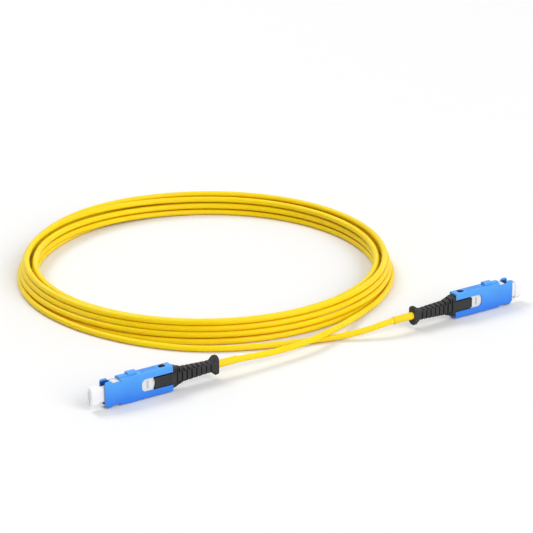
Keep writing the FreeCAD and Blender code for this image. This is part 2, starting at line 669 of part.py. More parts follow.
def build_boot(plug):
    """The black boot: pull flange, slotted strain relief, side arms in the slots and hooked tongues."""
    body = plug.new_body("strain_relief_boot")
    upper = [
        ("0", "boot_collar_height / 2"),
        ("-boot_collar", "boot_collar_height / 2"),
        ("-boot_shoulder", "boot_shoulder_height / 2"),
        ("-boot_neck", "boot_neck_height / 2"),
        ("-boot_length + pull_flange_thickness + pull_flange_flare", "boot_neck_height / 2"),
        ("-boot_length + pull_flange_thickness", "pull_flange_height / 2"),
        ("-boot_length", "pull_flange_height / 2"),
    ]
    outline = upper + mirrored(upper)[::-1]
    side_sketch = add_polygon(new_sketch(body, "SideOutline", "XZ_Plane"), outline)
    shaft = pad(body, "Shaft", side_sketch, "boot_width", both_ways=True)
    bevel = body.newObject("PartDesign::Chamfer", "SoftEdges")
    edges = edges_where(
        shaft,
        lambda place, heading: near(abs(place.y), "boot_width / 2")
        and not parallel(heading, Vector(0, 0, 1))
        and size("-boot_length") < place.x < 0,
    )
    bevel.Base = (shaft, edges)
    bevel.setExpression("Size", expression("boot_round"))

    # Round ends on the pull flange
    ends = new_sketch(body, "FlangeCorners", "YZ_Plane", "-boot_length")
    right = round_off("boot_width / 2", "pull_flange_height / 2", "pull_flange_round")
    left = [(f"-({across})", up) for across, up in right]
    for corner in (right, left, mirrored(right), mirrored(left)):
        add_polygon(ends, corner)
    cut_depth(body, "FlangeEnds", ends, "pull_flange_thickness + pull_flange_flare", backwards=True)

    # Bore for the sleeve
    bore = add_circle(new_sketch(body, "BoreSection", "YZ_Plane"), "0", "0", "boot_bore")
    cut_through(body, "Bore", bore)

    # Flexing slots in both sides, and above and below half a pitch further on
    side = "boot_width / 2"
    cuts = new_sketch(body, "SideSlotOutline", "XY_Plane")
    first = "-boot_slot_first"
    add_polygon(cuts, box(f"{first} - boot_slot_width", "slot_floor", first, f"{side} + 1"))
    add_polygon(cuts, box(f"{first} - boot_slot_width", f"-{side} - 1", first, "-slot_floor"))
    side_slot = cut_through(body, "SideSlot", cuts)
    repeat(body, "SideSlots", side_slot, cuts, "boot_slot_pitch", "boot_slot_count", backwards=True)
    caps = new_sketch(body, "TopSlotOutline", "XZ_Plane")
    second = f"{first} - boot_slot_pitch / 2"
    tall = "boot_collar_height / 2"
    add_polygon(caps, box(f"{second} - boot_slot_width", "slot_floor", second, tall))
    add_polygon(caps, box(f"{second} - boot_slot_width", f"-{tall}", second, "-slot_floor"))
    top_slot = cut_through(body, "TopSlot", caps)
    repeat(body, "TopSlots", top_slot, caps, "boot_slot_pitch", "boot_slot_count - 1", backwards=True)

    # Side arms: a plain one with bevelled corners, and a finger arm with a hollow end and a panel
    half = "arm_height / 2"
    plain = [
        ("-boot_collar", f"-{half}"),
        ("arm_reach - arm_bevel", f"-{half}"),
        ("arm_reach", f"-{half} + arm_bevel"),
        ("arm_reach", f"{half} - arm_bevel"),
        ("arm_reach - arm_bevel", half),
        ("-boot_collar", half),
    ]
    add_arm(body, "PlainArm", plain, "arm_inner")
    add_arm(body, "FingerArm", box("-boot_collar", f"-{half}", "arm_reach", half), "-arm_outer")
    border = box("-boot_collar", f"{half} - arm_border", "arm_reach + 1", f"{half} + 1")
    borders = (("PlainBorder", "arm_outer", False), ("FingerBorder", "-arm_outer", True))
    for name, offset, backwards in borders:
        border_sketch = new_sketch(body, f"{name}Outline", "XZ_Plane", offset)
        add_polygon(border_sketch, border)
        add_polygon(border_sketch, mirrored(border))
        cut_depth(body, name, border_sketch, "arm_step", backwards=backwards)
    hollow = new_sketch(body, "FingerEnd", "XZ_Plane", "-arm_inner")
    add_circle(hollow, "arm_reach + arm_hollow - arm_bevel", "0", "2 * arm_hollow")
    cut_depth(body, "HollowEnd", hollow, "arm_outer")
    panel = box(
        "panel_inset",
        f"-{half} + panel_inset",
        "arm_reach - 3 * panel_inset",
        f"{half} - panel_inset",
    )
    panel_sketch = add_polygon(new_sketch(body, "PanelOutline", "XZ_Plane", "-arm_outer"), panel)
    cut_depth(body, "Panel", panel_sketch, "panel_depth", backwards=True)

    # A wider chamber for the crimp ring
    chamber = add_circle(new_sketch(body, "ChamberSection", "YZ_Plane"), "0", "0", "boot_chamber")
    cut_depth(body, "Chamber", chamber, "boot_chamber_depth")

    # Tongues inside the housing's top and bottom walls, with hooks in its windows
    tongues = new_sketch(body, "TongueOutline", "XZ_Plane")
    tongue = box("-boot_collar", "tongue_under", "tongue_reach", "tongue_top")
    add_polygon(tongues, tongue)
    add_polygon(tongues, mirrored(tongue))
    pad(body, "Tongues", tongues, "tongue_width", both_ways=True)
    hooks = new_sketch(body, "HookOutline", "XZ_Plane")
    hook = [
        ("window_middle - hook_length / 2", "tongue_under"),
        ("window_middle - hook_length / 2", "hook_top"),
        ("window_middle", "hook_top"),
        ("window_middle + hook_length / 2", "tongue_top"),
        ("window_middle + hook_length / 2", "tongue_under"),
    ]
    add_polygon(hooks, hook)
    add_polygon(hooks, mirrored(hook))
    pad(body, "Hooks", hooks, "hook_width", both_ways=True)
    return body


def build_dust_cap(plug):
    """The white dust cap: a neck over both ferrules inside the mouth, and a round-edged head."""
    body = plug.new_body("dust_cap")
    neck_sketch = new_sketch(body, "NeckSection", "YZ_Plane", "cap_rear")
    add_polygon(neck_sketch, centred("cap_neck_width", "cap_neck_height"))
    neck = pad(body, "Neck", neck_sketch, "cap_head_rear - cap_rear + 0.5")
    bevel = body.newObject("PartDesign::Chamfer", "NeckEdges")
    bevel.Base = (neck, edges_where(neck, lambda place, heading: parallel(heading, ALONG_X)))
    bevel.setExpression("Size", expression("cap_neck_bevel"))
    head_sketch = new_sketch(body, "HeadSection", "YZ_Plane", "cap_head_rear")
    add_polygon(head_sketch, centred("cap_head_width", "cap_head_height"))
    head = pad(body, "Head", head_sketch, "cap_head_length")
    rounded = fillet(
        body,
        "HeadEdges",
        head,
        lambda place, heading: parallel(heading, ALONG_X) and near(abs(place.y), "cap_head_width / 2"),
        "cap_head_round",
    )
    head_end = "cap_head_rear + cap_head_length"
    tip = body.newObject("PartDesign::Chamfer", "TipEdge")
    tip.Base = (rounded, edges_where(rounded, lambda place, heading: near(place.x, head_end)))
    tip.setExpression("Size", expression("cap_tip_bevel"))
    recess = new_sketch(body, "RecessSection", "YZ_Plane", head_end)
    add_polygon(recess, centred("cap_recess_width", "cap_recess_height"))
    cut_depth(body, "Recess", recess, "cap_recess_depth")
    bores = new_sketch(body, "FerruleBores", "YZ_Plane", "cap_rear")
    for sign in ("", "-"):
        add_circle(bores, "0", f"{sign}ferrule_height", "ferrule_bore")
    cut_depth(body, "Bores", bores, "cap_bore_end - cap_rear", backwards=True)
    return body


def build_coil():
    """The outer shape of the coiled cable, one ring lying flat."""
    body = doc.addObject("PartDesign::Body", "cable_coil")
    body.Label = "cable_coil"
    body.setExpression(".Placement.Base.x", expression("coil_x"))
    body.setExpression(".Placement.Base.y", expression("coil_y"))
    low, high, tall, edge = "coil_inner_radius", "coil_outer_radius", "coil_height", "coil_edge"
    section = [
        (low, "0"),
        (high, "0"),
        (high, f"{tall} - {edge}"),
        (f"{high} - {edge}", tall),
        (f"{low} + {edge}", tall),
        (low, f"{tall} - {edge}"),
    ]
    sketch = add_polygon(new_sketch(body, "Section", "XZ_Plane"), section)
    ring = body.newObject("PartDesign::Revolution", "Ring")
    ring.Profile = sketch
    ring.ReferenceAxis = (sketch, ["V_Axis"])
    ring.Angle = 360
    return body


def route_points(route):
    """The points of a cable route, worked out from its formulas."""
    return [Vector(size(along), size(across), size(up)) for along, across, up in route]


def rounded_path(corners):
    """Straight runs joined by tangent arcs as large as the runs allow, with the arcs' radii."""
    edges = []
    radii = []
    start = corners[0]
    for before, corner, after in zip(corners, corners[1:], corners[2:]):
        back = before - corner
        ahead = after - corner
        reach = CORNER_SHARE * min(back.Length, ahead.Length)
        half_turn = (math.pi - back.getAngle(ahead)) / 2
        radius = reach / math.tan(half_turn)
        enter = corner + back.normalize() * reach
        leave = corner + ahead.normalize() * reach
        bisector = (back + ahead).normalize()
        middle = corner + bisector * (radius / math.cos(half_turn) - radius)
        edges.append(Part.LineSegment(start, enter).toShape())
        edges.append(Part.Arc(enter, middle, leave).toShape())
        radii.append(radius)
        start = leave
    edges.append(Part.LineSegment(start, corners[-1]).toShape())
    return edges, radii


def tube(edges, diameter):
    """A round solid along joined edges."""
    path = Part.Wire(edges)
    start = edges[0].valueAt(edges[0].FirstParameter)
    heading = edges[0].tangentAt(edges[0].FirstParameter)
    section = Part.Wire([Part.makeCircle(diameter / 2, start, heading)])
    return path.makePipeShell([section], True, False)


def strand(path, diameter, sides):
    """A thin solid of few sides along a path that starts along x, and the area of its section."""
    start = path.Edges[0].valueAt(path.Edges[0].FirstParameter)
    slice_angle = 2 * math.pi / sides
    corners = []
    for number in range(sides + 1):
        angle = slice_angle * number
        corners.append(start + Vector(0, math.cos(angle), math.sin(angle)) * (diameter / 2))
    section = Part.makePolygon(corners)
    shape = path.makePipeShell([section], True, False, MITRED)
    return shape, Part.Face(section).Area


def new_feature(label, shape):
    """Adds a piece whose shape is made from a path."""
    piece = doc.addObject("Part::Feature", label)
    piece.Label = label
    piece.Shape = shape
    return piece


def build_tail(letter, route):
    """The cable between a boot and the coil."""
    edges, radii = rounded_path(route_points(route))
    path = Part.Wire(edges)
    shape, area = strand(path, size("cable_diameter"), CABLE_SIDES)
    expected = area * path.Length
    print(f"cable_tail_{letter} radii", [round(radius, 1) for radius in radii])
    print(f"cable_tail_{letter} length {path.Length:.1f}, volume {shape.Volume:.2f} of {expected:.2f}")
    return new_feature(f"cable_tail_{letter}", shape)


def build_sleeve(plug, route):
    """The heat-shrink sleeve over the crimped end of the cable, which bends with the cable."""
    corners = route_points(route)
    front = Vector(corners[0])
    front.x = plug.side * size("plug_spacing / 2 - sleeve_front")
    edges, _ = rounded_path(corners)
    bend = edges[1]
    turn_start = bend.valueAt(bend.FirstParameter)
    length = size("sleeve_reach - sleeve_front")
    bent_length = length - (turn_start - front).Length
    if bent_length <= 0:
        path = [Part.LineSegment(front, front - Vector(plug.side * length, 0, 0)).toShape()]
    else:
        last = bend.FirstParameter + bent_length / bend.Curve.Radius
        straight = Part.LineSegment(front, turn_start).toShape()
        path = [straight, bend.Curve.toShape(bend.FirstParameter, last)]
    outside = tube(path, size("sleeve_diameter"))
    inside = tube(path, size("sleeve_bore"))
    return new_feature(f"heat_shrink_sleeve_{plug.letter}", outside.cut(inside))


def build_spring(plug, name, raised):
    """A compression spring of square wire, wound in short lengths round the flange's tail."""
    wire = size("spring_wire")
    radius = (size("spring_diameter") - wire) / 2 / math.cos(math.pi / LENGTHS_A_TURN)
    lengths = round(LENGTHS_A_TURN * size("spring_turns"))
    step = (size("spring_length") - wire) / lengths
    start = size("spring_rear") + wire / 2
    points = []
    for number in range(lengths + 1):
        angle = 2 * math.pi * number / LENGTHS_A_TURN
        points.append(Vector(start + number * step, radius * math.cos(angle), radius * math.sin(angle)))
    path = Part.makePolygon(points)
    half = wire / 2
    offsets = ((-half, -half), (half, -half), (half, half), (-half, half), (-half, -half))
    section = Part.makePolygon([points[0] + Vector(along, out, 0) for along, out in offsets])
    shape = path.makePipeShell([section], True, False, MITRED)
    piece = new_feature(f"ferrule_spring_{name}_{plug.letter}", shape)
    plug.place(piece, raised)
    return piece


def build_fibre(plug, name, sign):
    """A coated fibre from a ferrule's flange back to the end of the cable's jacket."""
    high = sign * size("ferrule_height")
    low = sign * size("fibre_spacing / 2")
    front = size("tail_rear - seat_gap")
    bend_front = size("body_joint - 0.5")
    bend_rear = size("back_body_rear + 0.5")
    middle = Vector((bend_front + bend_rear) / 2, 0, (high + low) / 2)
    points = [
        Vector(front, 0, high),
        Vector((bend_front + middle.x) / 2, 0, high),
        Vector((bend_rear + middle.x) / 2, 0, low),
        Vector(-size("jacket_end - seat_gap"), 0, low),
    ]
    shape, _ = strand(Part.makePolygon(points), size("fibre_diameter"), FIBRE_SIDES)
    piece = new_feature(f"fibre_{name}_{plug.letter}", shape)
    plug.place(piece)
    return piece


def build_plug(plug, route):
    """All pieces of one plug."""
    pieces = [
        build_housing(plug),
        build_front_body(plug),
        build_back_body(plug),
        build_crimp_ring(plug),
        build_sleeve(plug, route),
        build_boot(plug),
        build_dust_cap(plug),
    ]
    for name, sign in (("upper", 1), ("lower", -1)):
        raised = f"{sign} * ferrule_height"
        pieces.append(build_ferrule(plug, name, raised))
        pieces.append(build_flange(plug, name, raised))
        pieces.append(build_spring(plug, name, raised))
        pieces.append(build_fibre(plug, name, sign))
    return pieces


def check(pieces):
    """Stops where an object failed, a cut took nothing away or a piece isn't one sound solid."""
    failed = [item.Name for item in doc.Objects if {"Invalid", "Error"} & set(item.State)]
    if failed:
        raise RuntimeError(f"failed: {failed}")
    for item in doc.Objects:
        if item.TypeId == "PartDesign::Pocket":
            if item.Shape.Volume >= item.BaseFeature.Shape.Volume - 1e-6:
                owner = item.getParentGeoFeatureGroup().Label
                raise RuntimeError(f"{item.Name} of {owner} cuts nothing")
    for piece in pieces:
        if piece.Shape.isNull() or not piece.Shape.isValid():
            raise RuntimeError(f"{piece.Label} has no sound shape")
        if len(piece.Shape.Solids) != 1:
            raise RuntimeError(f"{piece.Label} has {len(piece.Shape.Solids)} solids")


def main():
    """Builds every piece, checks it and writes it to a file of its own."""
    pieces = build_plug(Plug("a", -1), TAIL_A_ROUTE)
    pieces += build_plug(Plug("b", 1), TAIL_B_ROUTE)
    pieces.append(build_coil())
    pieces.append(build_tail("a", TAIL_A_ROUTE))
    pieces.append(build_tail("b", TAIL_B_ROUTE))
    doc.recompute()
    check(pieces)
    os.makedirs("parts", exist_ok=True)
    for piece in pieces:
        piece.Shape.exportStep(f"parts/{piece.Label}.step")
        print(piece.Label, round(piece.Shape.Volume, 2))


main()
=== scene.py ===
"""Looks of a duplex fibre patch cord: two push-pull plugs on one coiled yellow cable.

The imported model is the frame. The plugs keep their own parts and get finishes here, with softer edges where
there is room, and the cable's three plain solids give way to one smooth cable, wound as it lies.
"""

import logging
import math
from dataclasses import dataclass
from enum import Enum
from typing import Any, Dict, List, Sequence, Tuple

import bpy
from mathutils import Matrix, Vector

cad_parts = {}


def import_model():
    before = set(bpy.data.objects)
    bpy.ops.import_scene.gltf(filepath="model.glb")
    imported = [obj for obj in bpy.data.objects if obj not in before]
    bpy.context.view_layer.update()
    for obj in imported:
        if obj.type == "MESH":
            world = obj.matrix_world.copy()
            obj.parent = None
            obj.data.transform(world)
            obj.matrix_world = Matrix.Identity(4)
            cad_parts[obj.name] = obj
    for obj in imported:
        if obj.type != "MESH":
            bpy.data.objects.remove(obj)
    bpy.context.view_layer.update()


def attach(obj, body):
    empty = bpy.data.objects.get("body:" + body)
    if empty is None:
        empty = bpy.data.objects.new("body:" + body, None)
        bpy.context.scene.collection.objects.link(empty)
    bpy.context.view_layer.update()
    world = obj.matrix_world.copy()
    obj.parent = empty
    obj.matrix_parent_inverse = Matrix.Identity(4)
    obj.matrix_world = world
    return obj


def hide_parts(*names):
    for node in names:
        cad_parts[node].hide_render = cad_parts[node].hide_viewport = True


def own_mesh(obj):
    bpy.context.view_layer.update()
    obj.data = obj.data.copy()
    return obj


Colour = Tuple[float, float, float]
Point = Tuple[float, float, float]
Place = Tuple[float, float]
Span = Tuple[float, float]

MM = 0.001
FULL_TURN = 360.0

# Where the frame's plugs stand, in metres: rear face from the middle, axis from the line between
# them and from the floor, half the housing's height, half its bore and half the front body's width
HOUSING_REAR = 0.0531
PLUG_OFFSET = 0.0009
AXIS_HEIGHT = 0.0045
HOUSING_HALF = 0.0042
BORE_HALF = (0.00130, 0.00350)
BODY_HALF = 0.00125

# Where the painted shade begins and ends, in metres: out from the front body's side, out from the
# housing's bore, and across from the plug's axis on the low border of the boot's arms
BAR_BLEND = (0.00002, 0.00010)
BORE_BLEND = (0.00002, 0.00008)
BORDER_BLEND = (0.00158, 0.00166)

# How near surfaces close in on a gap between strands or a fold of the boot, where shade is painted, in
# metres, and how much open sky is left where the gap or fold is deep and where it ends
GAP_REACH = 0.0012
GAP_SKY = (0.15, 0.65)
FOLD_REACH = 0.0006
FOLD_SKY = (0.30, 0.80)
SKY_SAMPLES = 8

# Masks that go up or down along a span
RISING = (0.0, 1.0)
FALLING = (1.0, 0.0)

# The part of a noise's range that holds most of it, as gloss and as tone use it, and its finer layers
GLOSS_CORE = (0.3, 0.7)
TONE_CORE = (0.32, 0.68)
CLOUD_DETAIL = 3.0
GRAIN_DETAIL = 2.0

# Painted light, lighter on top and darker low: its middle, and how much of the noise is left in it
TOP_LIGHT_MIDDLE = 0.4
TOP_LIGHT_CLOUD = 0.2

# A mix node's sockets for colours
MIX_SHARE = 0
MIX_FIRST = 6
MIX_SECOND = 7
MIX_RESULT = 2

log = logging.getLogger("patch_cord")


class End(Enum):
    """The two ends of the cord, named as their nodes are."""

    LEFT = "a"
    RIGHT = "b"


class Grain(Enum):
    """How a surface's fine relief is drawn out: its density along the plug, across it and up."""

    MOULDED = (1.0, 1.0, 1.0)
    DRAWN = (0.06, 1.0, 1.0)
    TURNED = (6.0, 0.3, 0.3)


class PaintedShade(Enum):
    """Which places of a surface get shade painted into their colour."""

    NONE = "none"
    BORE = "bore"
    SLOTS = "slots"
    BAR = "bar"
    GAPS = "gaps"


class Graph:
    """The nodes of a material or a world."""

    def __init__(self, owner: Any, output: str) -> None:
        """Start with an empty tree.

        Args:
            owner: the material or world that the tree belongs to.
            output: the type of its output node.
        """
        owner.use_nodes = True
        self.tree = owner.node_tree
        self.tree.nodes.clear()
        self.output = self.node(output)

    def node(self, kind: str, **values: Any) -> bpy.types.Node:
        """Add a node.

        Args:
            kind: the node's type.
            values: properties of the node, by name.

        Returns:
            The new node.
        """
        made = self.tree.nodes.new(kind)
        for key, value in values.items():
            setattr(made, key, value)
        return made

    def join(self, value: bpy.types.NodeSocket, into: bpy.types.NodeSocket) -> None:
        """Join an output to an input."""
        self.tree.links.new(value, into)

    def work_out(self, operation: str, *values: Any) -> bpy.types.NodeSocket:
        """Work out a value.

        Args:
            operation: what is done, as the math node calls it.
            values: numbers or other nodes' outputs.

        Returns:
            The output that holds the result.
        """
        made = self.node("ShaderNodeMath", operation=operation)
        for socket, value in zip(made.inputs, values):
            if isinstance(value, bpy.types.NodeSocket):
                self.join(value, socket)
            else:
                socket.default_value = value
        return made.outputs[0]

    def spread(self, value: bpy.types.NodeSocket, source: Span, target: Span) -> bpy.types.NodeSocket:
        """Map a value from one range to another, held at the ends.

        Args:
            value: the output to map.
            source: the range that it comes in.
            target: the range that it goes out in.

        Returns:
            The output that holds the result.
        """
        made = self.node("ShaderNodeMapRange")
        for name, number in zip(("From Min", "From Max", "To Min", "To Max"), (*source, *target)):
            made.inputs[name].default_value = number
        self.join(value, made.inputs["Value"])
        return made.outputs["Result"]

    def grey(self, kind: str, level: float) -> bpy.types.Node:
        """Add a shader of one grey.

        Args:
            kind: the shader's type.
            level: how bright the grey is, in linear light.

        Returns:
            The shader's node.
        """
        made = self.node(kind)
        made.inputs["Color"].default_value = (level, level, level, 1.0)
        return made

    def choose(self, lighting: bpy.types.Node, shown: bpy.types.Node) -> None:
        """Put out one shader for the rays that show the background, straight or in gloss or glass.

        Args:
            lighting: the shader for all other rays.
            shown: the shader for those rays.
        """
        rays = self.node("ShaderNodeLightPath").outputs
        seen = self.work_out("MAXIMUM", rays["Is Camera Ray"], rays["Is Glossy Ray"])
        pick = self.node("ShaderNodeMixShader")
        self.join(self.work_out("MAXIMUM", seen, rays["Is Transmission Ray"]), pick.inputs[0])
        self.join(lighting.outputs[0], pick.inputs[1])
        self.join(shown.outputs[0], pick.inputs[2])
        self.join(pick.outputs[0], self.output.inputs["Surface"])


class Surface(Graph):
    """A material's nodes round its one shader."""

    def __init__(self, material: bpy.types.Material) -> None:
        """Start with the shader alone.

        Args:
            material: the material that the nodes belong to.
        """
        super().__init__(material, "ShaderNodeOutputMaterial")
        self.shader = self.node("ShaderNodeBsdfPrincipled")
        self.join(self.shader.outputs["BSDF"], self.output.inputs["Surface"])
        self.place = self.node("ShaderNodeTexCoord").outputs["Object"]

    def noise(self, scale: float, detail: float, stretch: Point = (1.0, 1.0, 1.0)) -> bpy.types.NodeSocket:
        """Add noise that stays with the piece.

        Args:
            scale: features per metre, about.
            detail: how many finer layers it has.
            stretch: how the space is stretched first, along each axis.

        Returns:
            The output that holds the noise.
        """
        stretched = self.node("ShaderNodeMapping")
        stretched.inputs["Scale"].default_value = stretch
        self.join(self.place, stretched.inputs["Vector"])
        made = self.node("ShaderNodeTexNoise")
        made.inputs["Scale"].default_value = scale
        made.inputs["Detail"].default_value = detail
        self.join(stretched.outputs["Vector"], made.inputs["Vector"])
        return made.outputs["Fac"]

    def plug_place(self) -> Tuple[bpy.types.NodeSocket, bpy.types.NodeSocket, bpy.types.NodeSocket]:
        """Work out where a point is on its plug, the same on both plugs.

        Returns:
            Its distances along the plug from the middle, across from the axis and up from the axis.
        """
        parts = self.node("ShaderNodeSeparateXYZ")
        self.join(self.place, parts.inputs["Vector"])
        side = self.work_out("SIGN", parts.outputs["X"])
        along = self.work_out("ABSOLUTE", parts.outputs["X"])
        shifted = self.work_out("MULTIPLY_ADD", side, PLUG_OFFSET, parts.outputs["Y"])
        across = self.work_out("ABSOLUTE", shifted)
        up = self.work_out("SUBTRACT", parts.outputs["Z"], AXIS_HEIGHT)
        return along, across, up

    def hollows(self, reach: float, sky: Span) -> bpy.types.NodeSocket:
        """Pick out the places that other surfaces close in on.

        Args:
            reach: how near they have to be, in metres.
            sky: how much of the open sky is left in a deep place, and where it ends.

        Returns:
            The output that is one in a deep place and nought in the open.
        """
        closed = self.node("ShaderNodeAmbientOcclusion", samples=SKY_SAMPLES)
        closed.inputs["Distance"].default_value = reach
        return self.spread(closed.outputs["AO"], sky, FALLING)

    def painted_shade(self, kind: PaintedShade) -> bpy.types.NodeSocket:
        """Pick out the places of a surface where shade is painted into its colour.

        Args:
            kind: which places.

        Returns:
            The output that is one there and nought elsewhere.
        """
        # Painted shade in the gaps between strands
        if kind is PaintedShade.GAPS:
            return self.hollows(GAP_REACH, GAP_SKY)
        along, across, up = self.plug_place()
        # Painted shade on the front body's raised bar
        if kind is PaintedShade.BAR:
            return self.spread(across, (BODY_HALF + BAR_BLEND[0], BODY_HALF + BAR_BLEND[1]), RISING)
        # Painted shade on the faces inside the housing's bore
        if kind is PaintedShade.BORE:
            above = self.work_out("SUBTRACT", self.work_out("ABSOLUTE", up), BORE_HALF[1])
            past = self.work_out("MAXIMUM", self.work_out("SUBTRACT", across, BORE_HALF[0]), above)
            return self.spread(past, BORE_BLEND, FALLING)
        # Painted shade in the boot's folds and slots and on its arms' stepped-down border
        folds = self.hollows(FOLD_REACH, FOLD_SKY)
        beside = self.work_out("GREATER_THAN", along, HOUSING_REAR)
        low = self.spread(across, BORDER_BLEND, FALLING)
        return self.work_out("MAXIMUM", folds, self.work_out("MULTIPLY", beside, low))

    def tones(self, source: bpy.types.NodeSocket, deep: Colour, light: Colour) -> bpy.types.NodeSocket:
        """Colour the surface by a noise, which on the housing also carries its painted top light.

        Args:
            source: the output that holds the noise.
            deep: the colour where it is low, in linear light.
            light: the colour where it is high, in linear light.

        Returns:
            The output that holds the colour.
        """
        ramp = self.node("ShaderNodeValToRGB")
        for mark, spot, colour in zip(ramp.color_ramp.elements, TONE_CORE, (deep, light)):
            mark.position = spot
            mark.color = (*colour, 1.0)
        self.join(source, ramp.inputs["Fac"])
        return ramp.outputs["Color"]

    def lay_painted_shade(
        self, first: bpy.types.NodeSocket, mask: bpy.types.NodeSocket, colour: Colour
    ) -> bpy.types.NodeSocket:
        """Paint shade over the first tone where a mask is one.

        Args:
            first: the output that holds the first tone.
            mask: the output that holds the mask.
            colour: the painted shade, in linear light.

        Returns:
            The output that holds both.
        """
        both = self.node("ShaderNodeMix", data_type="RGBA")
        self.join(mask, both.inputs[MIX_SHARE])
        self.join(first, both.inputs[MIX_FIRST])
        both.inputs[MIX_SECOND].default_value = (*colour, 1.0)
        return both.outputs[MIX_RESULT]

    def gloss(self, source: bpy.types.NodeSocket, rough: Span) -> None:
        """Let the roughness wander between two values with a noise."""
        self.join(self.spread(source, GLOSS_CORE, rough), self.shader.inputs["Roughness"])

    def relief(self, source: bpy.types.NodeSocket, depth: float, strength: float) -> None:
        """Raise the surface a little with a noise.

        Args:
            source: the output that holds the noise.
            depth: how high it stands, in metres.
            strength: the share of it that shows.
        """
        bump = self.node("ShaderNodeBump")
        bump.inputs["Distance"].default_value = depth
        bump.inputs["Strength"].default_value = strength
        self.join(source, bump.inputs["Height"])
        self.join(bump.outputs["Normal"], self.shader.inputs["Normal"])

    def constant(self, **values: Any) -> None:
        """Set shader inputs that are the same all over; underscores stand for spaces."""
        for key, value in values.items():
            self.shader.inputs[key.replace("_", " ")].default_value = value


@dataclass(frozen=True)
class Finish:
    """One material of the cord, with its colours in linear light and its lengths in metres."""

    name: str
    slot: str
    light: Colour
    deep: Colour
    rough: Span
    grain: Grain = Grain.MOULDED
    cloud_scale: float = 180.0
    grain_scale: float = 5200.0
    grain_depth: float = 0.000012
    grain_strength: float = 0.35
    specular: float = 0.5
    coat: float = 0.0
    coat_rough: float = 0.2
    metallic: float = 0.0
    glow: float = 0.0
    glow_reach: float = 0.0006
    glow_tint: Colour = (1.0, 0.95, 0.9)
    # Painted shade: where a darker colour stands in for shade, and that colour; painted light: how much
    # lighter the top is painted than the bottom
    painted_shade: PaintedShade = PaintedShade.NONE
    shade_colour: Colour = (0.0, 0.0, 0.0)
    painted_top_light: float = 0.0

    def tone(self, graph: Surface) -> bpy.types.NodeSocket:
        """Work out the finish's colour, with its painted top light and painted shade where it has them.

        Args:
            graph: the graph of its material.

        Returns:
            The output that holds the colour.
        """
        cloud = graph.noise(self.cloud_scale, CLOUD_DETAIL)
        # Painted light: the tone goes lighter toward the top of the plug and darker toward the bottom
        if self.painted_top_light > 0.0:
            up = graph.plug_place()[2]
            ends = (TOP_LIGHT_MIDDLE - self.painted_top_light, TOP_LIGHT_MIDDLE + self.painted_top_light)
            height = graph.spread(up, (-HOUSING_HALF, HOUSING_HALF), ends)
            cloud = graph.work_out("MULTIPLY_ADD", cloud, TOP_LIGHT_CLOUD, height)
        colour = graph.tones(cloud, self.deep, self.light)
        # Painted shade: a darker colour laid over the tone in gaps, folds, the bore or on the bar
        if self.painted_shade is PaintedShade.NONE:
            return colour
        return graph.lay_painted_shade(colour, graph.painted_shade(self.painted_shade), self.shade_colour)

    def material(self) -> bpy.types.Material:
        """Make the material.

        Returns:
            The new material, or the one made before under the same name.
        """
        known = bpy.data.materials.get(self.name)
        if known is not None:
            return known
        material = bpy.data.materials.new(self.name)
        graph = Surface(material)
        graph.join(self.tone(graph), graph.shader.inputs["Base Color"])
        fine = graph.noise(self.grain_scale, GRAIN_DETAIL, self.grain.value)
        graph.gloss(fine, self.rough)
        graph.relief(fine, self.grain_depth, self.grain_strength)
        graph.constant(Specular_IOR_Level=self.specular, Metallic=self.metallic)
        if self.coat > 0.0:
            graph.constant(Coat_Weight=self.coat, Coat_Roughness=self.coat_rough)
        if self.glow > 0.0:
            graph.constant(Subsurface_Weight=self.glow, Subsurface_Scale=self.glow_reach)
            graph.constant(Subsurface_Radius=self.glow_tint)
        return material


# Painted light: the housing's light and deep blues stand mostly for its lit top and shaded bottom
# Painted shade: deep navy on the faces inside the housing's bore
HOUSING = Finish(
    "housing_satin_blue", "housing_blue", (0.072, 0.340, 0.840), (0.030, 0.205, 0.790), (0.30, 0.42),
    specular=0.35, painted_shade=PaintedShade.BORE, shade_colour=(0.006, 0.050, 0.240), painted_top_light=0.24,
)
# Painted shade: mid grey on the front body's raised bar
BODY = Finish(
    "body_white_plastic", "body_white", (0.80, 0.80, 0.79), (0.74, 0.74, 0.73), (0.40, 0.52),
    painted_shade=PaintedShade.BAR, shade_colour=(0.52, 0.52, 0.52),
)
CAP = Finish(
    "cap_milky_white", "cap_white", (0.86, 0.86, 0.86), (0.82, 0.82, 0.82), (0.26, 0.36),
    glow=0.8, glow_reach=0.0012,
)
# Painted shade: near black in the boot's folds and slots and on its arms' stepped-down border
BOOT = Finish(
    "boot_soft_black", "boot_black", (0.045, 0.045, 0.047), (0.038, 0.038, 0.040), (0.48, 0.62),
    grain_scale=3800.0, grain_depth=0.00002, specular=0.12, painted_shade=PaintedShade.SLOTS,
    shade_colour=(0.002, 0.002, 0.002),
)
SLEEVE = Finish(
    "sleeve_shrunk_yellow", "sleeve_yellow", (0.93, 0.650, 0.008), (0.90, 0.610, 0.006), (0.38, 0.50),
    grain_scale=2600.0, grain_depth=0.00002, specular=0.25,
)
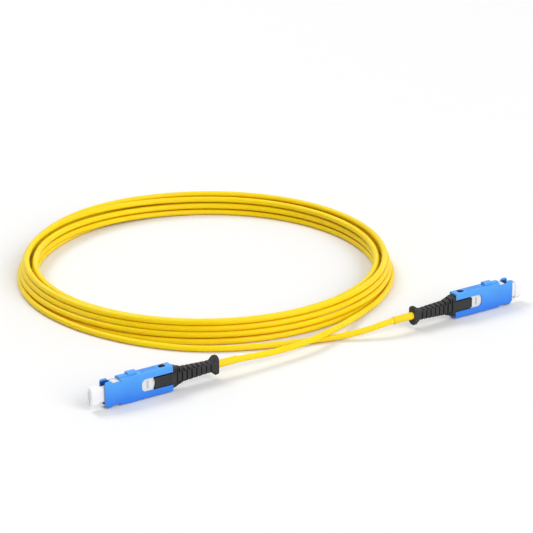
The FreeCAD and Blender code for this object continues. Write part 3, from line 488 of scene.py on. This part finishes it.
# Painted shade: warm orange in the gaps between strands
JACKET = Finish(
    "jacket_satin_yellow", "cable_yellow", (0.92, 0.692, 0.003), (0.89, 0.655, 0.002), (0.36, 0.48),
    cloud_scale=60.0, grain_scale=3000.0, grain_depth=0.000014, specular=0.22, glow=0.5,
    glow_reach=0.0008, glow_tint=(1.0, 0.45, 0.05), painted_shade=PaintedShade.GAPS, shade_colour=(0.90, 0.40, 0.0),
)
CERAMIC = Finish(
    "ferrule_zirconia", "ferrule_ceramic", (0.88, 0.88, 0.85), (0.84, 0.83, 0.79), (0.10, 0.18),
    coat=0.4, coat_rough=0.06, grain=Grain.TURNED,
)
FLANGE = Finish(
    "flange_machined_metal", "flange_metal", (0.66, 0.63, 0.56), (0.58, 0.55, 0.49), (0.24, 0.38),
    metallic=1.0, grain=Grain.TURNED,
)
SPRING = Finish(
    "spring_drawn_steel", "spring_steel", (0.58, 0.58, 0.58), (0.46, 0.46, 0.46), (0.22, 0.36),
    metallic=1.0, grain=Grain.DRAWN,
)
CRIMP = Finish(
    "crimp_plain_brass", "crimp_metal", (0.70, 0.53, 0.29), (0.60, 0.44, 0.23), (0.26, 0.40),
    metallic=1.0, grain=Grain.TURNED,
)
FIBRE = Finish(
    "fibre_buffer_coat", "fibre_coating", (0.82, 0.82, 0.74), (0.76, 0.76, 0.68), (0.20, 0.30),
    coat=0.3, grain=Grain.DRAWN,
)


@dataclass
class Plug:
    """One push-pull plug: the frame's own parts, with finishes and, where there is room, softer edges."""

    end: End
    housing_edge: float = 0.00010
    boot_edge: float = 0.00009
    cap_edge: float = 0.00022
    body_edge: float = 0.00006
    edge_strips: int = 2
    cap_strips: int = 3
    edge_angle: float = 28.0
    flat_angle: float = 0.6
    weld_reach: float = 0.000002
    normal_weight: int = 80
    ferrule_travel: float = 0.0006

    def node(self, stem: str) -> bpy.types.Object:
        """Find one of this plug's nodes by the first part of its name."""
        return bpy.data.objects[f"{stem}_{self.end.value}"]

    def soften(self, piece: bpy.types.Object, width: float, strips: int) -> None:
        """Round a part's edges, as far as its smallest edges leave room for it.

        Args:
            piece: the part's object.
            width: how wide the rounding is where there is room, in metres.
            strips: how many strips it has.
        """
        weld = piece.modifiers.new("weld", "WELD")
        weld.merge_threshold = self.weld_reach
        flat = piece.modifiers.new("flat", "DECIMATE")
        flat.decimate_type = "DISSOLVE"
        flat.angle_limit = math.radians(self.flat_angle)
        edge = piece.modifiers.new("edge", "BEVEL")
        edge.width = width
        edge.segments = strips
        edge.limit_method = "ANGLE"
        edge.angle_limit = math.radians(self.edge_angle)
        edge.use_clamp_overlap = True
        even = piece.modifiers.new("even", "WEIGHTED_NORMAL")
        even.weight = self.normal_weight

    def paint(self, stem: str, finish: Finish) -> bpy.types.Object:
        """Give one of this plug's parts its finish.

        Args:
            stem: the first part of the node's name.
            finish: the finish it takes.

        Returns:
            The part's object.
        """
        piece = self.node(stem)
        piece.data.materials.clear()
        piece.data.materials.append(finish.material())
        log.info("%s: %s", piece.name, finish.name)
        return piece

    def yield_to(self, piece: bpy.types.Object) -> None:
        """Give a spring or a fibre a mesh of its own.

        Args:
            piece: the spring's or the fibre's object.
        """
        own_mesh(piece)

    def dress(self) -> None:
        """Dress the parts that show and the ones inside."""
        self.soften(self.paint("outer_housing", HOUSING), self.housing_edge, self.edge_strips)
        self.soften(self.paint("strain_relief_boot", BOOT), self.boot_edge, self.edge_strips)
        self.soften(self.paint("dust_cap", CAP), self.cap_edge, self.cap_strips)
        self.soften(self.paint("front_body", BODY), self.body_edge, self.edge_strips)
        self.soften(self.paint("back_body", BODY), self.body_edge, self.edge_strips)
        self.soften(self.paint("heat_shrink_sleeve", SLEEVE), self.body_edge, self.edge_strips)
        self.paint("crimp_ring", CRIMP)
        for level in ("upper", "lower"):
            self.paint(f"ferrule_{level}", CERAMIC)
            self.paint(f"ferrule_flange_{level}", FLANGE)
            self.yield_to(self.paint(f"ferrule_spring_{level}", SPRING))
            self.yield_to(self.paint(f"fibre_{level}", FIBRE))

    def on_the_end(self) -> List[bpy.types.Object]:
        """The outer parts on this end of the cable."""
        return [self.node(stem) for stem in ("outer_housing", "strain_relief_boot", "heat_shrink_sleeve")]


@dataclass(frozen=True)
class Turn:
    """Where one turn lies in the coil: radius and height at the back, left, front and right, in metres."""

    back: Place
    left: Place
    front: Place
    right: Place

    def at(self, bearing: float) -> Place:
        """Radius and height at a bearing.

        Args:
            bearing: the angle from the coil's back, in radians.

        Returns:
            The radius and the height there.
        """
        return tuple(
            (back + left + front + right) / 4.0
            + (back - front) / 2.0 * math.cos(bearing)
            + (left - right) / 2.0 * math.sin(bearing)
            + (back - left + front - right) / 4.0 * math.cos(2.0 * bearing)
            for back, left, front, right in zip(self.back, self.left, self.front, self.right)
        )


@dataclass
class Cable:
    """The one cable from plug to plug: two tails that cross, and a loose coil of seven turns and a part."""

    diameter: float = 0.002
    length: float = 3.15
    centre: Place = (0.0090, 0.0781)
    back_bearing: float = 56.0
    points_a_turn: int = 24
    spline_pull: float = 0.9915
    shift_from: float = 60.0
    shift_to: float = 150.0
    coil_from: float = -60.0
    coil_to: float = 195.0 + 7 * FULL_TURN
    exit: Point = (-0.0366, 0.0009, 0.0045)
    steps_a_point: int = 5
    ring_detail: int = 8

    def turns(self) -> Tuple[Turn, ...]:
        """The coil's turns, in the order in which the cable runs through them; the last lies as the first.

        Returns:
            The turns, from rows of radius and height in millimetres.
        """
        rows = (
            ((63.4, 1.0), (62.9, 1.0), (65.4, 1.0), (62.9, 1.0)),
            ((61.3, 1.0), (60.8, 1.0), (63.5, 1.0), (60.8, 1.0)),
            ((58.9, 1.0), (58.1, 1.0), (61.2, 1.0), (58.1, 1.0)),
            ((59.0, 3.3), (58.2, 3.3), (60.1, 3.9), (58.2, 3.3)),
            ((59.6, 5.6), (57.7, 5.9), (59.75, 6.35), (57.7, 5.9)),
            ((61.7, 6.95), (60.7, 6.62), (61.7, 6.9), (60.5, 6.95)),
            ((62.3, 5.0), (61.5, 4.77), (62.1, 4.92), (61.3, 5.0)),
            ((61.3, 3.0), (62.2, 2.94), (62.8, 3.08), (61.9, 3.05)),
        )
        turns = tuple(Turn(*[(radius * MM, height * MM) for radius, height in row]) for row in rows)
        return (*turns, turns[0])

    def swings(self) -> Dict[int, Place]:
        """How far a turn swings out and up as it changes places, by its number.

        Returns:
            The swings, in metres.
        """
        return {
            1: (-0.0006, 0.0),
            2: (-0.0006, 0.0),
            3: (-0.0010, 0.0004),
            4: (-0.0008, 0.0003),
            5: (-0.00025, 0.0006),
            6: (0.00075, 0.00075),
            7: (0.0, 0.0005),
            8: (0.0018, 0.0006),
        }

    def tail_left(self) -> List[Point]:
        """The route from the left plug to the coil, over the other tail.

        Returns:
            The points, in metres.
        """
        return [
            (-0.0421, 0.0009, 0.0045),
            (-0.0280, 0.0009, 0.0045),
            (-0.0170, 0.0008, 0.0035),
            (-0.0030, 0.0017, 0.0034),
            (0.0085, 0.0050, 0.0034),
            (0.0190, 0.0104, 0.0023),
            (0.0300, 0.0166, 0.0012),
        ]

    def tail_right(self) -> List[Point]:
        """The route from the coil to the right plug, along the floor.

        Returns:
            The points, in metres.
        """
        return [
            (-0.0310, 0.0210, 0.0010),
            (-0.0140, 0.0120, 0.0010),
            (0.0020, 0.0072, 0.0010),
            (0.0120, 0.0040, 0.0012),
            (0.0205, 0.0006, 0.0029),
            (0.0275, -0.00085, 0.00445),
            (0.0345, -0.0009, 0.0045),
            (0.0421, -0.0009, 0.0045),
        ]

    def way_out(self) -> List[Point]:
        """How the last turn draws away from the coil: bearing in degrees, radius and height."""
        return [(208.0, 0.0661, 0.0010), (221.0, 0.0677, 0.0010)]

    def lying(self, bearing: float) -> Place:
        """Where the cable lies at a bearing that runs on from turn to turn.

        Args:
            bearing: degrees from the x axis, counted on through all turns.

        Returns:
            The radius and the height there.
        """
        turns = self.turns()
        number = max(0, math.floor((bearing - self.shift_from) / FULL_TURN) + 1)
        here = bearing - FULL_TURN * max(0, number - 1)
        from_back = math.radians(here - self.back_bearing)
        new = turns[number].at(from_back)
        if number == 0:
            return new
        old = turns[number - 1].at(from_back)
        share = min(1.0, (here - self.shift_from) / (self.shift_to - self.shift_from))
        ease = share * share * (3.0 - 2.0 * share)
        swing = math.sin(math.pi * share) ** 2
        drift = self.swings()[number]
        return tuple(o + (n - o) * ease + d * swing for o, n, d in zip(old, new, drift))

    def round_point(self, bearing: float, radius: float, height: float) -> Point:
        """A point round the coil's centre, by its bearing in degrees."""
        turn = math.radians(bearing)
        return (self.centre[0] + radius * math.cos(turn), self.centre[1] + radius * math.sin(turn), height)

    def route(self) -> List[Point]:
        """The control points from the left plug's end of the cable to the right one's.

        Returns:
            The points, in metres.
        """
        points = self.tail_left()
        step = FULL_TURN / self.points_a_turn
        count = round((self.coil_to - self.coil_from) / step)
        for number in range(count + 1):
            bearing = self.coil_from + step * number
            radius, height = self.lying(bearing)
            points.append(self.round_point(bearing, radius / self.spline_pull, height))
        points += [self.round_point(*stop) for stop in self.way_out()]
        return points + self.tail_right()

    def build(self) -> bpy.types.Object:
        """Lay the cable.

        Returns:
            The cable's curve object.
        """
        curve = bpy.data.curves.new("patch_cable", "CURVE")
        curve.dimensions = "3D"
        curve.resolution_u = self.steps_a_point
        curve.bevel_depth = self.diameter / 2.0
        curve.bevel_resolution = self.ring_detail
        curve.use_fill_caps = True
        points = self.route()
        spline = curve.splines.new("NURBS")
        spline.points.add(len(points) - 1)
        for spot, point in zip(spline.points, points):
            spot.co = (*point, 1.0)
        spline.order_u = 3
        spline.use_endpoint_u = True
        spline.use_smooth = True
        piece = bpy.data.objects.new("patch_cable", curve)
        bpy.context.scene.collection.objects.link(piece)
        return piece

    def dress(self, piece: bpy.types.Object, far_pieces: Sequence[bpy.types.Object]) -> None:
        """Finish the cable and say what it is.

        Args:
            piece: the cable's object.
            far_pieces: the parts on its far end; not used.
        """
        piece.data.materials.append(JACKET.material())
        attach(piece, "cord")
        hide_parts("cable_coil", "cable_tail_a", "cable_tail_b")
        log.info("%s: %s", piece.name, JACKET.name)


@dataclass
class Studio:
    """A pale floor, soft light and the camera, with lengths in metres and angles in degrees."""

    target: Point = (0.02919, 0.07143, 0.0)
    turn: float = 33.904
    elevation: float = 20.879
    distance: float = 0.79894
    lens: float = 157.5
    sensor: float = 36.0
    clip: Span = (0.01, 50.0)
    sky: Span = (0.42, 0.77)
    sky_span: Span = (-0.8, 0.8)
    key_watts: float = 28.0
    key_size: float = 1.4
    key_place: Point = (-0.35, 1.60, 2.10)
    fill_watts: float = 47.0
    fill_size: float = 2.1
    fill_place: Point = (0.36, -2.40, 1.60)
    floor_half: float = 6.0
    bounce: float = 0.75
    shade: float = 0.86

    def look(self) -> Vector:
        """The way the camera looks.

        Returns:
            The direction, one long.
        """
        turn = math.radians(self.turn)
        tilt = math.radians(self.elevation)
        ahead = Vector((math.sin(turn), math.cos(turn), 0.0))
        return ahead * math.cos(tilt) + Vector((0.0, 0.0, -math.sin(tilt)))

    def aim(self, piece: bpy.types.Object, place: Vector, look: Vector) -> None:
        """Put a lamp or the camera into the scene at a place, turned to look along a direction.

        Args:
            piece: the lamp's or the camera's object.
            place: where it stands.
            look: where it looks.
        """
        piece.location = place
        piece.rotation_mode = "QUATERNION"
        piece.rotation_quaternion = look.to_track_quat("-Z", "Y")
        bpy.context.scene.collection.objects.link(piece)

    def camera(self) -> None:
        """Set up the camera."""
        data = bpy.data.cameras.new("studio_camera")
        data.lens = self.lens
        data.sensor_width = self.sensor
        data.clip_start, data.clip_end = self.clip
        piece = bpy.data.objects.new("studio_camera", data)
        look = self.look()
        self.aim(piece, Vector(self.target) - look * self.distance, look)
        bpy.context.scene.camera = piece

    def floor(self) -> None:
        """Lay the floor, white to the eye and still dark where a shadow falls."""
        half = self.floor_half
        corners = [(-half, -half, 0.0), (half, -half, 0.0), (half, half, 0.0), (-half, half, 0.0)]
        mesh = bpy.data.meshes.new("studio_floor")
        mesh.from_pydata(corners, [], [(0, 1, 2, 3)])
        piece = bpy.data.objects.new("studio_floor", mesh)
        bpy.context.scene.collection.objects.link(piece)
        material = bpy.data.materials.new("studio_floor")
        graph = Graph(material, "ShaderNodeOutputMaterial")
        plain = graph.grey("ShaderNodeBsdfDiffuse", self.bounce)
        graph.choose(plain, graph.grey("ShaderNodeBsdfDiffuse", self.shade))
        mesh.materials.append(material)

    def heaven(self) -> None:
        """Set a sky that is dimmer on the left, and white where it is seen."""
        world = bpy.data.worlds.new("studio_sky")
        bpy.context.scene.world = world
        graph = Graph(world, "ShaderNodeOutputWorld")
        parts = graph.node("ShaderNodeSeparateXYZ")
        graph.join(graph.node("ShaderNodeTexCoord").outputs["Generated"], parts.inputs["Vector"])
        sky = graph.grey("ShaderNodeBackground", 1.0)
        graph.join(graph.spread(parts.outputs["X"], self.sky_span, self.sky), sky.inputs["Strength"])
        graph.choose(sky, graph.grey("ShaderNodeBackground", 1.0))

    def light(self) -> None:
        """Hang a soft lamp behind, over the coil, and a wider one in front."""
        self.lamp("studio_key", self.key_watts, self.key_size, Vector(self.key_place))
        self.lamp("studio_fill", self.fill_watts, self.fill_size, Vector(self.fill_place))

    def lamp(self, name: str, watts: float, size: float, offset: Vector) -> None:
        """Hang a round soft lamp that shines at the camera's target.

        Args:
            name: the lamp's name.
            watts: its power.
            size: how wide it is, in metres.
            offset: where it hangs, from the target.
        """
        data = bpy.data.lights.new(name, "AREA")
        data.shape = "DISK"
        data.size = size
        data.energy = watts
        self.aim(bpy.data.objects.new(name, data), Vector(self.target) + offset, -offset)

    def build(self) -> None:
        """Set up the floor, the light and the camera."""
        bpy.context.scene.view_settings.view_transform = "Standard"
        self.floor()
        self.heaven()
        self.light()
        self.camera()
        log.info("studio: floor, sky, lamps and camera")


def plain(corners: Sequence[Vector]) -> List[List[float]]:
    """Two corners as plain lists of numbers."""
    return [[float(value) for value in corner] for corner in corners]


def main() -> None:
    """Build the studio, both plugs and the cable."""
    logging.basicConfig(level=logging.INFO, format="%(name)s: %(message)s")
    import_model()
    Studio().build()
    plugs = [Plug(End.LEFT), Plug(End.RIGHT)]
    for plug in plugs:
        plug.dress()
    cable = Cable()
    cable.dress(cable.build(), plugs[1].on_the_end())


if __name__ == "__main__":
    main()
